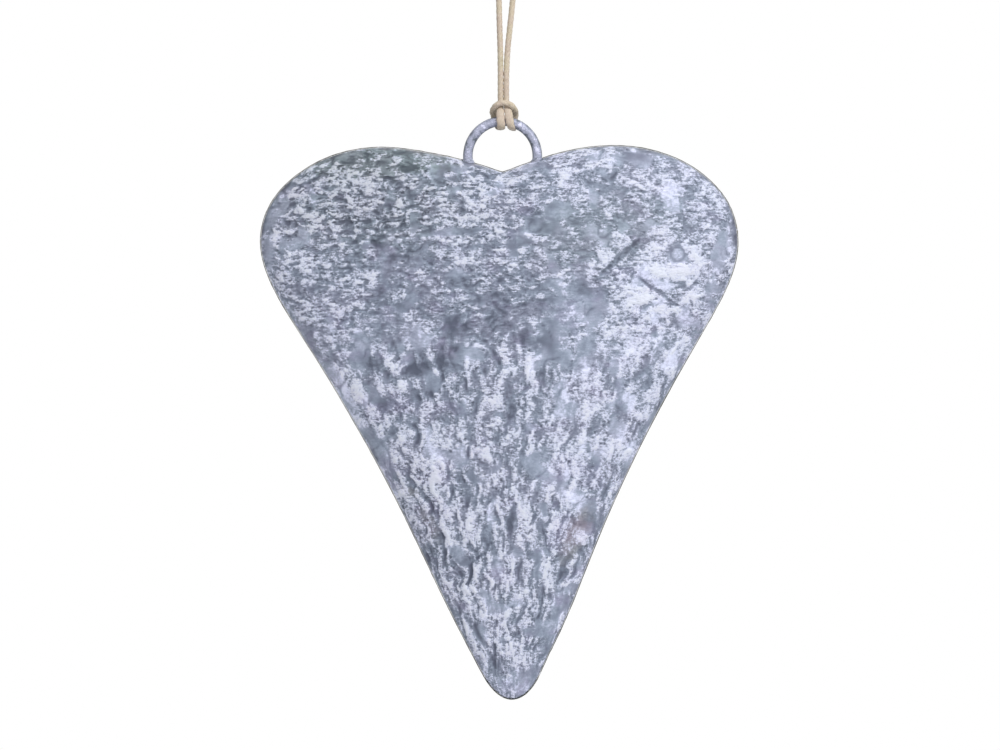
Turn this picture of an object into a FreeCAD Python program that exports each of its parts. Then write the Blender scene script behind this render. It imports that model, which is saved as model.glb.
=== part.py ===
"""Hollow hammered sheet-metal heart on a wire ring, hung by a knotted cord.

Millimetres. +Z is up, +X is to the viewer's right and -Y is towards the viewer.
The origin is the point where a nail or hook carries the cord loop.
"""

import FreeCAD, Part
import math
import os

from FreeCAD import Vector

# Heart body, two formed shells that meet in the plane Y = 0
left_half_width = 65.2
right_half_width = 62.5
heart_height = 147.8
tip_lean = 2.5
shell_depth = 11.0
sheet_thickness = 0.6
seam_bead_radius = 0.5

# Heart outline from the cleft to the tip. Each pair is the share of the half
# width beside the heart's leaning axis, and the share of the heart's height
# below the lobe tops.
cleft_depth_share = 0.0462
left_outline_shares = (
    (0.107, 0.0308),
    (0.299, 0.0109),
    (0.512, 0.0009),
    (0.706, 0.0172),
    (0.848, 0.0517),
    (0.960, 0.1060),
    (1.000, 0.1714),
    (0.977, 0.2258),
    (0.906, 0.2910),
    (0.770, 0.3890),
    (0.614, 0.5086),
    (0.471, 0.6283),
    (0.344, 0.7480),
    (0.217, 0.8676),
    (0.130, 0.9438),
    (0.081, 0.9791),
)
right_outline_shares = (
    (0.103, 0.0299),
    (0.271, 0.0082),
    (0.443, -0.0018),
    (0.661, 0.0082),
    (0.861, 0.0517),
    (0.966, 0.1060),
    (1.000, 0.1714),
    (0.976, 0.2258),
    (0.903, 0.2910),
    (0.766, 0.3890),
    (0.607, 0.5086),
    (0.465, 0.6283),
    (0.340, 0.7480),
    (0.220, 0.8676),
    (0.131, 0.9438),
    (0.084, 0.9791),
)

# Dome of a shell. Its sections are copies of the outline drawn in towards the
# crown, and they grow rounder on the way. Angles go from the seam to the crown.
crown_drop_share = 0.33
crown_reach_share = 0.36
crown_roundness = 1.5
section_angles = (0, 10, 20, 30, 40, 50, 60, 70, 79, 86)
dome_fullness = 3.2
tip_thinning_share = 0.3

# Hanging ring, an open hoop of wire whose two ends stand inside the heart
wire_diameter = 2.5
ring_mean_radius = 9.3
ring_centre_over_cleft = 4.5
ring_end_angle = 126.0
wire_notch_gap = 0.05
weld_collar_width = 0.7
weld_height_share = 0.8

# Cord
cord_diameter = 1.5
cord_drop = 55.15
swing_axis_over_wire = 6.6
hitch_end_gap = 0.1
knot_half_width = 2.9
knot_half_depth = 2.3
knot_half_height = 2.6
knot_centre_height = 3.6
knot_tail_length = 9.0
knot_tail_spacing = 1.9
knot_tail_spread = 1.6
least_cord_gap = 0.4

# Route of the hitch round the ring's wire, from its left upper end to its right
# one. Millimetres from the wire's centre at the ring's top.
hitch_route = (
    (-0.72, 0.00, 5.75),
    (-0.72, -0.30, 4.60),
    (-0.70, -1.22, 2.95),
    (-0.68, -2.35, 1.10),
    (-0.62, -2.60, -0.95),
    (-0.70, -1.12, -2.60),
    (-1.05, 1.15, -2.58),
    (-1.55, 2.58, -0.90),
    (-2.10, 2.50, 1.35),
    (-2.70, 1.40, 3.20),
    (-2.85, -0.50, 4.35),
    (-2.10, -2.15, 4.85),
    (-0.60, -2.80, 5.00),
    (1.20, -2.80, 5.00),
    (2.75, -2.20, 4.80),
    (3.60, -0.60, 4.25),
    (3.65, 1.30, 2.95),
    (3.30, 2.50, 1.10),
    (2.90, 2.62, -1.15),
    (2.50, 1.20, -2.90),
    (2.20, -1.15, -2.90),
    (2.05, -2.62, -1.20),
    (1.75, -2.40, 0.95),
    (1.45, -1.25, 2.90),
    (1.28, -0.30, 4.60),
    (1.25, 0.00, 5.75),
)

# Routes of the cord's two legs from the swing axis to the inside of the knot.
# Millimetres from the hanging point.
left_leg_route = (
    (-0.72, 0.0, -48.55),
    (-0.74, 0.0, -41.5),
    (-0.82, 0.0, -32.0),
    (-1.25, 0.0, -22.0),
    (-2.15, 0.0, -13.0),
    (-2.95, 0.0, -7.0),
    (-3.30, 0.0, -3.2),
    (-2.80, 0.0, -0.2),
    (-1.35, 0.0, 1.5),
    (-0.80, 0.0, 3.6),
)
right_leg_route = (
    (1.25, 0.0, -48.55),
    (1.22, 0.0, -41.5),
    (1.55, 0.0, -32.0),
    (2.55, 0.0, -22.0),
    (3.05, 0.0, -13.0),
    (3.25, 0.0, -7.0),
    (3.30, 0.0, -3.2),
    (2.80, 0.0, -0.2),
    (1.35, 0.0, 1.5),
    (0.80, 0.0, 3.6),
)

# Arc at a corner of a cord's route, as a share of the shorter run beside it
corner_run_share = 0.45

# Places that follow from the sizes
wire_radius = wire_diameter / 2
cord_radius = cord_diameter / 2
ring_top = Vector(0, 0, -cord_drop)
ring_centre = ring_top - Vector(0, 0, ring_mean_radius)
cleft = ring_centre - Vector(0, 0, ring_centre_over_cleft)
lobe_top_z = cleft.z + cleft_depth_share * heart_height
crown_centre = Vector(tip_lean * crown_drop_share, 0, lobe_top_z - crown_drop_share * heart_height)
tip = Vector(tip_lean, 0, lobe_top_z - heart_height)
knot_centre = Vector(0, 0, knot_centre_height)
X_AXIS = Vector(1, 0, 0)
Y_AXIS = Vector(0, 1, 0)
Z_AXIS = Vector(0, 0, 1)


def outline_point(side, half_width, shares):
    """Point of the heart's edge on one side (-1 left, +1 right) from its two shares."""
    across, down = shares
    return Vector(
        tip_lean * down + side * across * half_width, 0, lobe_top_z - down * heart_height
    )


def edge_curve(points, first, last):
    """Smooth curve through points, with the directions at its two ends."""
    curve = Part.BSplineCurve()
    curve.interpolate(Points=points, InitialTangent=first, FinalTangent=last, Scale=False)
    return curve


def edge_curves():
    """The heart's edge as two curves, cleft to tip down the left and tip to cleft up the right."""
    left = [cleft]
    left += [outline_point(-1, left_half_width, s) for s in left_outline_shares]
    left.append(tip)
    right = [cleft]
    right += [outline_point(1, right_half_width, s) for s in right_outline_shares]
    right.append(tip)
    right.reverse()
    return (
        edge_curve(left, (left[1] - left[0]).normalize(), X_AXIS),
        edge_curve(right, X_AXIS, (right[-1] - right[-2]).normalize()),
    )


def inset_curves(inset):
    """The edge curves moved inwards, which still meet on the axis at the cleft and the tip."""
    moved = []
    for curve in edge_curves():
        points = []
        for knot_value in curve.getKnots():
            inward = curve.tangent(knot_value)[0].cross(Y_AXIS)
            points.append(curve.value(knot_value) + inward.normalize() * inset)
        ends = [curve.tangent(u)[0] for u in (curve.FirstParameter, curve.LastParameter)]
        moved.append((points, ends))
    (left, left_ends), (right, right_ends) = moved
    left[0] = right[-1] = (left[0] + right[-1]) / 2
    return edge_curve(left, *left_ends), edge_curve(right, *right_ends)


def drawn_in(point, share, rise):
    """A point of the edge drawn in towards the crown and raised off the seam plane."""
    offset = point - crown_centre
    rounded = Vector(offset).normalize() * (crown_reach_share * heart_height)
    outline_part = share**crown_roundness
    drawn = crown_centre + (offset * outline_part + rounded * (1 - outline_part)) * share
    towards_tip = max(crown_centre.z - drawn.z, 0) / (crown_centre.z - tip.z)
    drawn.y = -rise * (1 - tip_thinning_share * towards_tip**2)
    return drawn


def section(curves, angle, depth):
    """One section of the dome, at an angle between the seam (0) and the crown (90)."""
    share = math.cos(math.radians(angle)) ** (2 / dome_fullness)
    rise = depth * math.sin(math.radians(angle))
    edges = []
    for curve in curves:
        poles = [drawn_in(p, share, rise) for p in curve.getPoles()]
        if angle == section_angles[-1]:
            poles = [Vector(p.x, -rise, p.z) for p in poles]
        drawn = Part.BSplineCurve()
        drawn.buildFromPolesMultsKnots(
            poles, curve.getMultiplicities(), curve.getKnots(), False, curve.Degree
        )
        edges.append(drawn.toShape())
    return Part.Wire(edges)


def dome(inset, depth):
    """Solid under a shell's face, from the seam plane to the crown on the viewer's side."""
    curves = inset_curves(inset) if inset else edge_curves()
    return Part.makeLoft([section(curves, a, depth) for a in section_angles], True, False, False, 3)


def circle_wire(centre, normal, radius):
    """A circle as a wire."""
    return Part.Wire(Part.Circle(centre, normal, radius).toShape())


def ring_hoop(radius):
    """The ring's wire at a given radius, open at the bottom."""
    start = math.radians(ring_end_angle)
    first = ring_centre + Vector(
        ring_mean_radius * math.sin(start), 0, ring_mean_radius * math.cos(start)
    )
    second = ring_centre + Vector(
        -ring_mean_radius * math.sin(start), 0, ring_mean_radius * math.cos(start)
    )
    path = Part.Wire(Part.Arc(first, ring_top, second).toShape())
    along = Y_AXIS.cross(first - ring_centre)
    return path.makePipeShell([circle_wire(first, along, radius)], True, False)


def foot_of_ring(curve, from_start):
    """Where the ring's centreline crosses an edge curve, near the cleft."""
    first, last = curve.FirstParameter, curve.LastParameter
    near = first if from_start else last
    far = (first + last) / 2
    for _ in range(40):
        middle = (near + far) / 2
        if (curve.value(middle) - ring_centre).Length < ring_mean_radius:
            near = middle
        else:
            far = middle
    return curve.value(near)


def seam_line():
    """The bead's filled round section along the whole edge, before the shells are taken out."""
    bead = Part.makeSphere(seam_bead_radius, cleft)
    for curve in edge_curves():
        start = curve.value(curve.FirstParameter)
        along = curve.tangent(curve.FirstParameter)[0]
        path = Part.Wire(curve.toShape())
        bead = bead.fuse(
            path.makePipeShell([circle_wire(start, along, seam_bead_radius)], True, False)
        )
    return bead


def weld_blob(foot):
    """Weld metal round one foot of the ring, before its neighbours are taken out."""
    blob_radius = wire_radius + weld_collar_width
    blob = Part.makeSphere(blob_radius)
    flatten = FreeCAD.Matrix()
    flatten.scale(Vector(1, 1, weld_height_share))
    blob = blob.transformGeometry(flatten)
    blob.translate(foot)
    return blob


def rounded_path(points):
    """Straight runs joined by tangent arcs, and the arcs' radii."""
    corners = [Vector(*p) for p in points]
    edges, radii, here = [], [], corners[0]
    for before, corner, after in zip(corners, corners[1:], corners[2:]):
        back, forward = before - corner, after - corner
        turn = math.pi - back.getAngle(forward)
        trim = corner_run_share * min(back.Length, forward.Length)
        radius = trim / math.tan(turn / 2)
        radii.append(radius)
        arc_start = corner + back.normalize() * trim
        arc_end = corner + forward.normalize() * trim
        towards_centre = (back + forward).normalize()
        centre = corner + towards_centre * (radius / math.cos(turn / 2))
        arc_middle = centre - towards_centre * radius
        edges.append(Part.LineSegment(here, arc_start).toShape())
        edges.append(Part.Arc(arc_start, arc_middle, arc_end).toShape())
        here = arc_end
    edges.append(Part.LineSegment(here, corners[-1]).toShape())
    return Part.Wire(edges), radii


def cord_tube(name, points):
    """A length of cord along its route."""
    path, radii = rounded_path(points)
    start, along = Vector(*points[0]), Vector(*points[1]) - Vector(*points[0])
    tube = path.makePipeShell([circle_wire(start, along, cord_radius)], True, False)
    share = tube.Volume / (math.pi * cord_radius**2 * path.Length)
    print(f"{name}: length {path.Length:.1f}, volume share of section times length {share:.3f}")
    print(f"{name}: radii {', '.join(f'{r:.1f}' for r in radii)}")
    return tube, path


def gap_to_itself(path):
    """Least clear space between stretches of a cord over two diameters apart along it."""
    step = cord_diameter / 4
    count = int(path.Length / step)
    points = path.discretize(count + 1)
    skip = 2 * int(cord_diameter / step) + 2
    least = path.Length
    for i, p in enumerate(points):
        for q in points[i + skip :]:
            least = min(least, (p - q).Length)
    return least - cord_diameter


def hitch():
    """The lark's head that the cord makes round the ring's wire."""
    points = [ring_top + Vector(*p) for p in hitch_route]
    points[0].z = points[-1].z = ring_top.z + swing_axis_over_wire - cord_radius - hitch_end_gap
    tube, path = cord_tube("cord_hitch", points)
    gap = gap_to_itself(path)
    print(f"cord_hitch: least gap to itself {gap:.2f}, wanted over {least_cord_gap}")
    return tube


def leg(name, route, lump):
    """One leg of the cord loop, from its round lower end on the swing axis to the knot's lump."""
    start = Vector(*route[0])
    start.z = ring_top.z + swing_axis_over_wire
    tube, _ = cord_tube(name, [start, *route[1:]])
    ball = Part.makeSphere(cord_radius, start, Z_AXIS, -90, 0, 360)
    return tube.fuse(ball).cut(lump).removeSplitter()


def knot():
    """The knot that ties the cord's two ends, with its two cut tails."""
    lump = Part.makeSphere(1)
    stretch = FreeCAD.Matrix()
    stretch.scale(Vector(knot_half_width, knot_half_depth, knot_half_height))
    lump = lump.transformGeometry(stretch)
    lump.translate(knot_centre)
    for side in (-1, 1):
        root = knot_centre + X_AXIS * (side * knot_tail_spacing / 2)
        end = root + Vector(side * knot_tail_spread, 0, knot_half_height + knot_tail_length)
        along = end - root
        lump = lump.fuse(Part.makeCylinder(cord_radius, along.Length, root, along))
    return lump


def main():
    """Builds every piece and writes one file for each."""
    face, hollow = dome(0, shell_depth), dome(sheet_thickness, shell_depth - sheet_thickness)
    mirror_plane = (Vector(0, 0, 0), Y_AXIS)
    back_face = face.mirror(*mirror_plane)
    shell = face.cut(hollow)
    notch = ring_hoop(wire_radius + wire_notch_gap)
    ring = ring_hoop(wire_radius)
    bead = seam_line().cut(face).cut(back_face).cut(notch)

    left_curve, right_curve = edge_curves()
    feet = {
        "ring_weld_left": foot_of_ring(left_curve, True),
        "ring_weld_right": foot_of_ring(right_curve, False),
    }
    top_knot = knot()
    pieces = {
        "front_shell": shell.cut(notch),
        "back_shell": shell.mirror(*mirror_plane).cut(notch),
        "seam_bead": bead,
        "hanging_ring": ring,
        "cord_hitch": hitch(),
        "cord_leg_left": leg("cord_leg_left", left_leg_route, top_knot),
        "cord_leg_right": leg("cord_leg_right", right_leg_route, top_knot),
        "cord_knot": top_knot,
    }
    for name, foot in feet.items():
        blob = weld_blob(foot).cut(face).cut(back_face).cut(ring)
        pieces[name] = blob.cut(bead)

    os.makedirs("parts", exist_ok=True)
    for name, shape in pieces.items():
        box = shape.BoundBox
        print(
            f"{name}: {len(shape.Solids)} solids, valid {shape.isValid()}, volume {shape.Volume:.1f},"
            f" x {box.XMin:.2f}..{box.XMax:.2f}, y {box.YMin:.2f}..{box.YMax:.2f},"
            f" z {box.ZMin:.2f}..{box.ZMax:.2f}"
        )
        shape.exportStep(f"parts/{name}.step")


main()
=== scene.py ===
"""The looks of a hanging sheet-metal heart: hammered sheet under rubbed paint, wire ring and waxed cord."""

import logging
import math
from dataclasses import dataclass
from enum import Enum

import bmesh
import bpy
import numpy as np
from mathutils import Matrix, Vector
from mathutils.bvhtree import BVHTree
from mathutils.kdtree import KDTree


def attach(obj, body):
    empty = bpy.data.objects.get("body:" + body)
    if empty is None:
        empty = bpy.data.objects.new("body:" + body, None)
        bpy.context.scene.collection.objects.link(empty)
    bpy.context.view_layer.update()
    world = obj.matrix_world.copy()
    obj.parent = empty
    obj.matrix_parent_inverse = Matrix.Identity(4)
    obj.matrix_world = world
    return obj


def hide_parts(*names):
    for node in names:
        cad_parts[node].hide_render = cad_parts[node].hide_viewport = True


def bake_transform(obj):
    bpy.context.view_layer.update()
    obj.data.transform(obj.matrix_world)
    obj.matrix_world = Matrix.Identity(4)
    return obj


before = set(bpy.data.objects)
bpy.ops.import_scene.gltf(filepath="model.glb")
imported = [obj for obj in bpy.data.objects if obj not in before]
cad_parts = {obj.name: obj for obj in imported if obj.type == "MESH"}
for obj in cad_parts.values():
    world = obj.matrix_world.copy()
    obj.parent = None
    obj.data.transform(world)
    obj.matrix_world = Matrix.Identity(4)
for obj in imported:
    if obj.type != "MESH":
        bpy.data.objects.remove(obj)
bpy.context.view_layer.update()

log = logging.getLogger("heart_ornament")

MM = 0.001
MERGE = 0.002 * MM
RING_RADIUS = 9.3
RING_CENTRE_Z = -64.45

# A smooth grade: the low and high value, then what it gives there where that isn't 0 and 1
Band = tuple[float, ...]
Colour = tuple[float, ...]
Point = tuple[float, float, float]
Piece = bpy.types.Object
Material = bpy.types.Material
Shape = bmesh.types.BMesh
Socket = bpy.types.NodeSocket
Value = Socket | float | tuple


class Side(Enum):
    """The half of the heart, by the sign of its Y."""

    FRONT = -1
    BACK = 1


class Body(str, Enum):
    """The moving groups that a piece can ride on."""

    CORD = "cord"
    HITCH = "hitch"
    HEART = "heart"


class Slot(str, Enum):
    """The record's finishes."""

    SHEET = "whitewashed_sheet"
    SOLDER = "seam_solder"
    WIRE = "whitewashed_wire"
    COTTON = "waxed_cotton"


def soft_step(low: float, high: float, values: np.ndarray) -> np.ndarray:
    """Rises smoothly from 0 to 1 as the values go from low to high."""
    share = np.clip((values - low) / (high - low), 0.0, 1.0)
    return share * share * (3.0 - 2.0 * share)


def placed(name: str, data: bpy.types.ID) -> Piece:
    """Puts finished data in the scene, at the origin.

    Args:
        name: the object's name.
        data: its mesh, curve, lamp or camera.

    Returns:
        The new object.
    """
    piece = bpy.data.objects.new(name, data)
    bpy.context.scene.collection.objects.link(piece)
    return piece


def finished(name: str, shape: Shape) -> Piece:
    """Turns a shape into a smooth-shaded object.

    Args:
        name: the piece's name.
        shape: its geometry in metres, which is freed.

    Returns:
        The new object.
    """
    mesh = bpy.data.meshes.new(name)
    shape.to_mesh(mesh)
    shape.free()
    mesh.shade_smooth()
    return placed(name, mesh)


def dressed(piece: Piece, material: Material, slot: Slot, body: Body, *nodes: str) -> Piece:
    """Gives a piece its finish, its body and the CAD nodes that it stands for.

    Args:
        piece: the piece.
        material: its finish.
        slot: the record's name for that finish, which is not used.
        body: the moving group that it rides on.
        nodes: the CAD nodes that it replaces.

    Returns:
        The same piece.
    """
    piece.data.materials.clear()
    piece.data.materials.append(material)
    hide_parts(*nodes)
    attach(piece, body.value)
    log.info("%s: %d faces", piece.name, len(piece.data.polygons))
    return piece


def merged_copy(node: str) -> Shape:
    """Copies a CAD node's mesh and merges its doubled points.

    Args:
        node: the node's name.

    Returns:
        The copy. The node itself stays as it is.
    """
    copy = bmesh.new()
    copy.from_mesh(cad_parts[node].data)
    bmesh.ops.remove_doubles(copy, verts=copy.verts, dist=MERGE)
    copy.normal_update()
    return copy


def laid_in_order(shape: Shape) -> Shape:
    """Lays a shape again in order of place, because Blender's spin and extrude change order each run.

    Args:
        shape: the shape, which is freed.

    Returns:
        The same shape, with its points and faces in one fixed order.
    """
    points = sorted(shape.verts, key=lambda vert: tuple(vert.co))
    number = {vert: count for count, vert in enumerate(points)}
    rows = sorted([number[vert] for vert in face.verts] for face in shape.faces)
    laid = bmesh.new()
    corners = [laid.verts.new(vert.co) for vert in points]
    for row in rows:
        laid.faces.new([corners[index] for index in row])
    shape.free()
    return laid


def mesh_of(curve: bpy.types.Curve) -> bpy.types.Mesh:
    """Reads a curve as a mesh.

    Args:
        curve: the curve, which is removed.

    Returns:
        The mesh.
    """
    holder = placed(curve.name, curve)
    mesh = bpy.data.meshes.new_from_object(holder)
    bpy.data.objects.remove(holder)
    bpy.data.curves.remove(curve)
    return mesh


def tree_of(places: list[Vector]) -> KDTree:
    """Makes a tree that finds the nearest of some places.

    Args:
        places: the places.

    Returns:
        The balanced tree.
    """
    tree = KDTree(len(places))
    for number, place in enumerate(places):
        tree.insert(place, number)
    tree.balance()
    return tree


def places_of(shape: Shape) -> np.ndarray:
    """Gives a shape's points in mm, one row for each."""
    return np.array([vert.co for vert in shape.verts]) / MM


def raise_points(shape: Shape, lifts: np.ndarray) -> None:
    """Moves each point along its normal by its own lift, in mm."""
    for vert, lift in zip(shape.verts, lifts):
        vert.co += vert.normal * float(lift) * MM


def keep_share(shape: Shape, name: str, values: np.ndarray) -> None:
    """Keeps one number for each point of a shape, for its finish to read.

    Args:
        shape: the shape.
        name: the attribute's name.
        values: one number for each point, in order.
    """
    layer = shape.verts.layers.float.new(name)
    for vert, value in zip(shape.verts, values):
        vert[layer] = float(value)


class Crumple:
    """Seeded gradient noise in space, the same in each run."""

    CELLS = 256
    GAIN = 1.7
    FINER = 2.03
    LAYER_SHIFT = 17.3

    def __init__(self, seed: int) -> None:
        """Draws the lattice's order and slopes.

        Args:
            seed: the seed of the draw.
        """
        draw = np.random.default_rng(seed)
        self.order = draw.permutation(self.CELLS)
        slopes = draw.normal(size=(self.CELLS, 3))
        self.slopes = slopes / np.linalg.norm(slopes, axis=1, keepdims=True)

    def at(self, points: np.ndarray) -> np.ndarray:
        """Gives the noise, from about -1 to 1, at each point.

        Args:
            points: rows of three coordinates, one cell to the unit.

        Returns:
            One value for each row.
        """
        cell = np.floor(points).astype(int)
        local = points - cell
        fade = local**3 * (local * (local * 6 - 15) + 10)
        total = np.zeros(len(points))
        for corner in np.ndindex(2, 2, 2):
            index = (cell + corner) % self.CELLS
            key = self.order[(self.order[index[:, 0]] + index[:, 1]) % self.CELLS]
            key = self.order[(key + index[:, 2]) % self.CELLS]
            weight = np.prod(np.where(corner, fade, 1 - fade), axis=1)
            total += weight * np.einsum("ij,ij->i", self.slopes[key], local - corner)
        return total * self.GAIN

    def layered(self, points: np.ndarray, layers: int = 2, gain: float = 0.5) -> np.ndarray:
        """Adds finer and weaker layers of the noise.

        Args:
            points: rows of three coordinates.
            layers: how many layers.
            gain: the strength of each layer as a share of the one before.

        Returns:
            One value for each row, from about -1 to 1.
        """
        total, strength, reach = np.zeros(len(points)), 1.0, 0.0
        for layer in range(layers):
            total += strength * self.at(points * self.FINER**layer + self.LAYER_SHIFT * layer)
            reach += strength
            strength *= gain
        return total / reach

    def gullies(self, points: np.ndarray, sharpness: float) -> np.ndarray:
        """Gives thin branching lines, 1 along each line and 0 away from it."""
        return np.clip(1.0 - np.abs(self.layered(points)) * sharpness, 0.0, 1.0) ** 2


@dataclass(frozen=True)
class Effect:
    """What a mark adds to the sheet at its middle: shares, and a lift in mm."""

    paint: float = 0.0
    lift: float = 0.0
    brown: float = 0.0
    smooth: float = 0.0
    contrast: float = 0.0
    moss: float = 0.0


class Touch(Enum):
    """The kinds of mark that rubbing, beating and age leave on the sheet; SHADE is painted shade and GULLY's
    darkness is partly painted shade.
    """

    BARE = Effect(lift=-0.03, smooth=0.95)
    BOLD = Effect(paint=0.20, lift=0.08, smooth=-0.8)
    # A groove whose darkness is partly bare metal and partly painted shade.
    GULLY = Effect(paint=-0.36, lift=-0.18)
    # Painted shade with a slight dip: darkens patches where shade falls on the sheet.
    SHADE = Effect(paint=-0.20, lift=-0.06)
    BROWN = Effect(paint=-0.08, brown=0.9, smooth=0.7)
    HAZE = Effect(paint=0.07)
    DEEP = Effect(paint=-0.07)
    CRISP = Effect(contrast=0.5)
    MOSS = Effect(moss=1.0)


@dataclass(frozen=True)
class Mark:
    """One feature of the front, with its place in the photograph's pixels."""

    touch: Touch
    across_px: float
    down_px: float
    length_px: float
    width_px: float
    tilt: float = 0.0
    strength: float = 1.0


@dataclass(frozen=True)
class PhotoScale:
    """How the photograph's pixels lie on the object's own millimetres."""

    mm_per_px: float = 0.268
    centre_px: float = 502.0
    ring_centre_px: float = 155.5
    ring_centre_mm: float = RING_CENTRE_Z

    def across(self, pixel: float) -> float:
        """Gives X in mm of a pixel column."""
        return (pixel - self.centre_px) * self.mm_per_px

    def height(self, pixel: float) -> float:
        """Gives Z in mm of a pixel row."""
        return self.ring_centre_mm + (self.ring_centre_px - pixel) * self.mm_per_px


def marks_of(touch: Touch, *places: tuple[float, ...]) -> tuple[Mark, ...]:
    """Makes marks of one kind: column, row, length, width, tilt and strength."""
    return tuple(Mark(touch, *place) for place in places)


FRONT_MARKS = (
    *marks_of(
        Touch.CRISP,
        (340, 190, 200, 100, 0, 2.0), (490, 205, 80, 70, 0, 0.5), (410, 490, 90, 50, -62, 1.0),
        (460, 560, 90, 60, -62, 0.5), (640, 230, 230, 200, 0, -0.7), (600, 430, 170, 210, 0, -0.6),
    ),
    *marks_of(
        Touch.MOSS,
        (375, 160, 200, 34, 2, 0.8), (370, 200, 210, 110, 0, 0.35), (600, 230, 150, 70, 10, 0.3),
    ),
    *marks_of(
        Touch.DEEP,
        (578, 240, 90, 60, 10, 1.3), (400, 218, 150, 90, 0, 1.0), (420, 295, 150, 80, 0, 1.1),
        (500, 325, 120, 80, 20, 1.7),
    ),
    *marks_of(
        Touch.HAZE,
        (505, 666, 60, 50, 0, 1.6), (310, 185, 80, 60, 30, 0.9), (445, 490, 110, 70, -62, 0.9),
        (665, 320, 170, 200, 60, 1.4), (590, 175, 200, 60, 0, 0.35), (600, 420, 90, 170, 0, 1.0),
        (560, 560, 70, 140, 0, 0.9), (470, 200, 90, 60, 0, 0.3), (345, 395, 110, 34, -62, 1.7),
        (470, 600, 60, 40, -62, 1.4), (275, 300, 60, 40, -60, 1.6), (676, 255, 19, 19, 0, 2.6),
    ),
    *marks_of(
        Touch.BROWN,
        (410, 491, 20, 9, -8, 0.7), (574, 536, 60, 20, 66, 0.8), (428, 522, 44, 12, -62, 0.5),
    ),
    *marks_of(
        Touch.BARE,
        (562, 312, 78, 44, 62, 0.7), (540, 470, 60, 20, 82, 0.5), (676, 255, 24, 24, 0, 0.9),
        (648, 276, 40, 9, -37, 0.7), (278, 208, 34, 18, 62), (269, 252, 34, 12, 88),
        (385, 262, 14, 60, 0, 0.6), (436, 175, 24, 16, 90), (454, 191, 18, 9, 20),
        (391, 173, 11, 7, 0), (455, 232, 62, 7, 6), (596, 157, 26, 9, 6), (637, 279, 17, 14, 20),
        (663, 284, 20, 13, -10), (658, 302, 16, 7, 20), (720, 250, 46, 20, 80), (592, 307, 34, 30, 40),
        (512, 249, 26, 13, 90), (549, 345, 40, 24, 80), (345, 393, 66, 13, -60), (384, 455, 62, 13, -64),
        (585, 350, 60, 18, 70, 0.8), (650, 360, 50, 12, 60, 0.6), (456, 549, 22, 10, -10),
        (497, 567, 28, 12, 88), (558, 608, 48, 16, 78), (520, 678, 40, 26, 10, 0.8),
    ),
    # Grooves, darker partly from bare metal and partly from painted shade.
    *marks_of(
        Touch.GULLY,
        (655, 290, 56, 3.5, -37), (606, 272, 26, 6, 44, 0.8), (377, 228, 20, 3, 80, 0.7),
        (374, 242, 16, 3, -60, 0.6), (339, 240, 20, 3, 70, 0.55), (337, 256, 18, 3, -70, 0.55),
        (348, 268, 18, 3, -28, 0.6), (611, 176, 20, 6, 70, 0.7), (621, 255, 40, 7, 44),
        (479, 556, 17, 3.5, 35), (469, 573, 24, 3.5, 84), (473, 597, 24, 3.5, -70),
        (456, 603, 44, 4, -60, 0.7), (484, 643, 46, 5, -62, 0.7),
    ),
    # Painted shade: darker patches and the top edges of the lobes.
    *marks_of(
        Touch.SHADE,
        (643, 240, 34, 7, 14, 0.8), (410, 154, 52, 6, 4), (362, 160, 40, 8, 2, 0.7), (287, 226, 26, 9, 14),
        (460, 186, 20, 6, -50), (395, 232, 40, 6, 24), (630, 214, 36, 11, 20, 0.8), (733, 238, 12, 5, 90),
        (682, 286, 16, 8, -20), (643, 309, 8, 6, 0), (421, 368, 58, 12, 14), (470, 330, 80, 26, 10, 0.6),
        (590, 285, 30, 22, 40, 0.35), (497, 659, 18, 8, 88),
    ),
    *marks_of(
        Touch.BOLD,
        (340, 176, 20, 7, -10), (324, 183, 28, 6, -6), (369, 178, 10, 7, 0), (379, 187, 16, 5, 4),
        (331, 208, 28, 9, 6), (298, 192, 13, 9, 30), (361, 208, 22, 8, 8), (468, 221, 32, 11, 6),
        (484, 188, 15, 10, 0), (482, 209, 28, 7, -22), (495, 232, 22, 18, 0), (469, 258, 15, 12, 20),
        (300, 262, 34, 20, -30, 0.5), (627, 181, 26, 5, -22), (672, 271, 50, 15, 0, 1.5),
        (690, 252, 34, 10, -55, 1.1), (639, 300, 30, 15, 24, 1.5), (663, 310, 30, 8, -4, 1.5),
        (690, 295, 20, 10, 10, 1.4), (522, 250, 13, 5, -6), (502, 252, 15, 5, 0), (535, 238, 22, 8, -14),
        (560, 176, 60, 22, 2, 0.35), (471, 364, 22, 11, -10), (515, 349, 34, 7, 8),
        (521, 368, 26, 13, 20, 0.8), (404, 389, 26, 8, -80), (437, 470, 26, 14, -80),
        (414, 474, 24, 16, -40), (475, 519, 32, 20, 80), (449, 511, 18, 11, 80), (448, 534, 22, 9, -65),
        (474, 577, 38, 9, 82), (508, 571, 40, 9, 82), (546, 568, 38, 12, -80), (528, 595, 30, 16, -50, 0.8),
        (496, 616, 26, 8, 2), (513, 611, 20, 7, 32), (560, 622, 22, 6, 66, 0.8), (449, 592, 50, 7, -62, 0.9),
        (472, 637, 50, 9, -62, 0.7), (492, 636, 19, 7, -75), (505, 674, 11, 6, 10, 0.8),
        (526, 643, 26, 12, 6, 0.8),
    ),
)


@dataclass(frozen=True)
class RingDent:
    """A small round punch mark in the right lobe."""

    across_px: float = 676.0
    down_px: float = 255.0
    radius_mm: float = 1.9
    line_mm: float = 0.40
    depth_mm: float = 0.16
    paint_loss: float = 0.24

    def ring(self, scale: PhotoScale, points: np.ndarray) -> np.ndarray:
        """Gives 1 on the punched ring and 0 away from it."""
        side, rise = points[:, 0] - scale.across(self.across_px), points[:, 2] - scale.height(self.down_px)
        return np.exp(-(((np.hypot(side, rise) - self.radius_mm) / self.line_mm) ** 2))


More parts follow.
